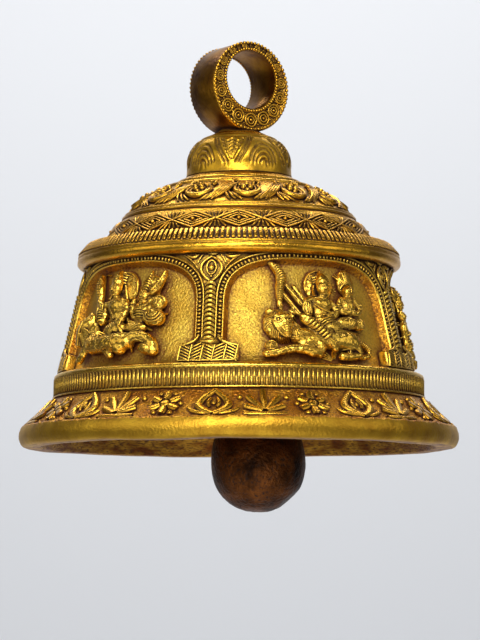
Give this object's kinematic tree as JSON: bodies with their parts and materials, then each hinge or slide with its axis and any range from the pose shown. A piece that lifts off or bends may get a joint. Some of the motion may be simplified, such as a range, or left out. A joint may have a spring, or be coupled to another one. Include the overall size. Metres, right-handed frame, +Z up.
{
  "type": "temple bell",
  "caption": "Hanging cast brass temple bell with a suspension ring, domed crown, relief arcade, flared skirt and a free-swinging clapper.",
  "frame": {"origin": "centre of the hole in the suspension ring", "axes": "+Z up along the bell's axis, -Y the front; the ring's hole runs along (sin 35, -cos 35, 0)"},
  "size_m": [0.1796, 0.1794, 0.1942],
  "materials": {
    "bell_brass": "antique gold, polished high points over dark patina",
    "fittings": "dull, tarnished",
    "clapper": "dark brown bronze patina, worn and pitted"
  },
  "bodies": {
    "bell": {"suspension_ring": "bell_brass", "crown_knob": "bell_brass", "knob_collar": "bell_brass", "bell_shell": "bell_brass", "dome_scroll_band": "bell_brass", "dome_border_ring": "bell_brass", "dome_lozenge_band": "bell_brass", "shoulder_flange": "bell_brass", "arcade_frame": "bell_brass", "pilaster_1": "bell_brass", "pilaster_2": "bell_brass", "pilaster_3": "bell_brass", "pilaster_4": "bell_brass", "pilaster_5": "bell_brass", "panel_relief_1": "bell_brass", "panel_relief_2": "bell_brass", "panel_relief_3": "bell_brass", "panel_relief_4": "bell_brass", "panel_relief_5": "bell_brass", "ribbed_band": "bell_brass", "skirt_frieze": "bell_brass", "crown_washer": "fittings", "crown_nut": "fittings", "clapper_hook": "fittings"},
    "link": {"clapper_link": "fittings"},
    "clapper": {"clapper_rod": "clapper", "clapper_bob": "clapper"}
  },
  "joints": [
    {"name": "link_swing", "type": "hinge", "parent": "bell", "child": "link", "pos_m": [0.00775, 0, -0.06925], "axis": [1, 0, 0], "range_deg": [-20, 20]},
    {"name": "rod_swing", "type": "hinge", "parent": "link", "child": "clapper", "pos_m": [0.00775, 0, -0.0829], "axis": [0, 1, 0], "range_deg": [-29, 41]}
  ]
}
